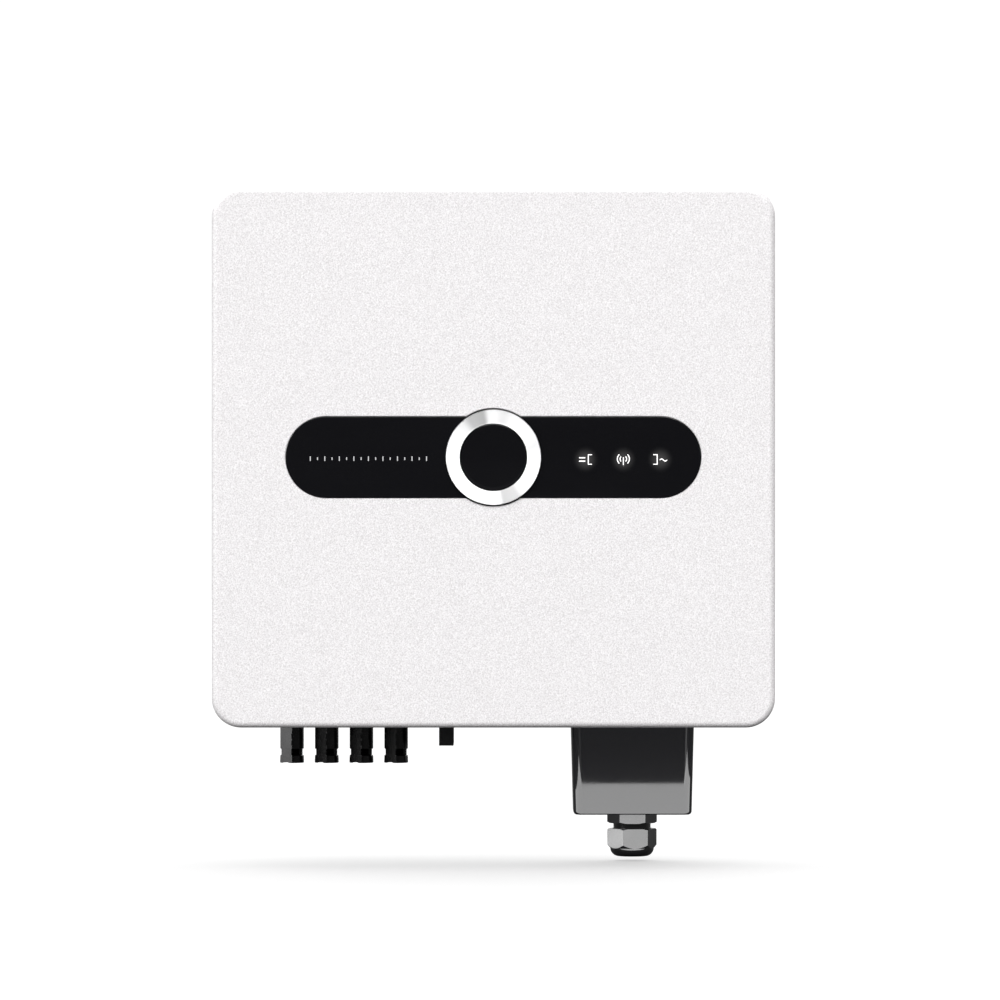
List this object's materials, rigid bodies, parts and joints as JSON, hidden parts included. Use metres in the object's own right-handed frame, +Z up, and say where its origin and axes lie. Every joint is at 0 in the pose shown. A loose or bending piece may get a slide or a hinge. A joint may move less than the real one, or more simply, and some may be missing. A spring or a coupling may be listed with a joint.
{
  "type": "string inverter",
  "caption": "Wall-hung string inverter with a white cast cover, black display bar with a ringed push button, solar sockets, rotary isolator and an AC wiring box with a gland.",
  "frame": {"origin": "middle of the wall bracket's back face, on the wall plane", "axes": "+Y into the wall, so the front looks towards -Y; +Z up; +X to the right as seen from the front"},
  "size_m": [0.42, 0.1735, 0.5031],
  "materials": {
    "white_coat": "fine textured white powder coat",
    "grey_coat": "grey powder coat on a casting",
    "bare_aluminium": "extruded, plain",
    "zinc_steel": "zinc plated sheet and screws",
    "spun_chrome": "circular spun, bright",
    "gloss_black": "polished black",
    "black_plastic": "satin moulded black",
    "moulded_black": "smooth moulded black",
    "gland_nylon": "satin moulded black nylon",
    "seal_rubber": "matt",
    "clear_plastic": "clear moulded light guide",
    "circuit_board": "solder mask",
    "tinned_contact": "tinned",
    "capacitor_sleeve": "dark sleeve on a can",
    "winding": "enamelled copper",
    "relay_case": "moulded case",
    "terminal_plastic": "moulded"
  },
  "bodies": {
    "bracket": {"wall_bracket": "zinc_steel"},
    "inverter": {"front_cover": "white_coat", "rear_housing": "grey_coat", "heatsink": "bare_aluminium", "hanger_plate": "zinc_steel", "cover_gasket": "seal_rubber", "display_panel": "gloss_black", "chrome_ring": "spun_chrome", "button_switch": "black_plastic", "light_guide": "clear_plastic", "display_board": "circuit_board", "main_board": "circuit_board", "power_module": "relay_case", "link_capacitor_1": "capacitor_sleeve", "link_capacitor_2": "capacitor_sleeve", "link_capacitor_3": "capacitor_sleeve", "boost_inductor_1": "winding", "boost_inductor_2": "winding", "filter_choke": "winding", "grid_relay_1": "relay_case", "grid_relay_2": "relay_case", "isolator_body": "terminal_plastic", "isolator_seal": "seal_rubber", "wiring_box": "moulded_black", "wiring_box_gasket": "seal_rubber", "ac_terminal_block": "terminal_plastic", "gland_body": "gland_nylon", "gland_lock_nut": "gland_nylon", "gland_flat_seal": "seal_rubber", "vent_plug": "black_plastic", "earth_screw": "zinc_steel", "wiring_box_screw_1": "zinc_steel", "wiring_box_screw_2": "zinc_steel", "cover_screw_1": "zinc_steel", "dc_connector_1": "black_plastic", "dc_contact_1": "tinned_contact", "dc_lock_nut_1": "tinned_contact", "dc_flange_seal_1": "seal_rubber", "cover_screw_2": "zinc_steel", "dc_connector_2": "black_plastic", "dc_contact_2": "tinned_contact", "dc_lock_nut_2": "tinned_contact", "dc_flange_seal_2": "seal_rubber", "cover_screw_3": "zinc_steel", "dc_connector_3": "black_plastic", "dc_contact_3": "tinned_contact", "dc_lock_nut_3": "tinned_contact", "dc_flange_seal_3": "seal_rubber", "cover_screw_4": "zinc_steel", "dc_connector_4": "black_plastic", "dc_contact_4": "tinned_contact", "dc_lock_nut_4": "tinned_contact", "dc_flange_seal_4": "seal_rubber"},
    "button": {"centre_button": "gloss_black", "button_plunger": "black_plastic"},
    "isolator": {"isolator_shaft": "zinc_steel", "isolator_handle": "black_plastic"},
    "gland_clamp": {"gland_insert": "seal_rubber"},
    "gland_cap": {"gland_nut": "gland_nylon"}
  },
  "joints": [
    {"name": "lift_off", "type": "slide", "parent": "bracket", "child": "inverter", "axis": [0, 0, 1], "range_m": [0, 0.014]},
    {"name": "button_press", "type": "slide", "parent": "inverter", "child": "button", "axis": [0, 1, 0], "range_m": [0, 0.001], "stiffness_N_per_m": 900},
    {"name": "isolator_turn", "type": "hinge", "parent": "inverter", "child": "isolator", "pos_m": [-0.0356, -0.09, -0.2555], "axis": [0, 0, 1], "range_deg": [0, 90]},
    {"name": "gland_squeeze", "type": "slide", "parent": "inverter", "child": "gland_clamp", "axis": [0, 0, 1], "range_m": [0, 0.00375]},
    {"name": "gland_screw", "type": "hinge", "parent": "gland_clamp", "child": "gland_cap", "pos_m": [0.105, -0.09, -0.3515], "axis": [0, 0, 1], "range_deg": [0, 900]}
  ],
  "couplings": [
    {"joint": "gland_squeeze", "follows": "gland_screw", "m_per_rad": 0.00023873}
  ]
}
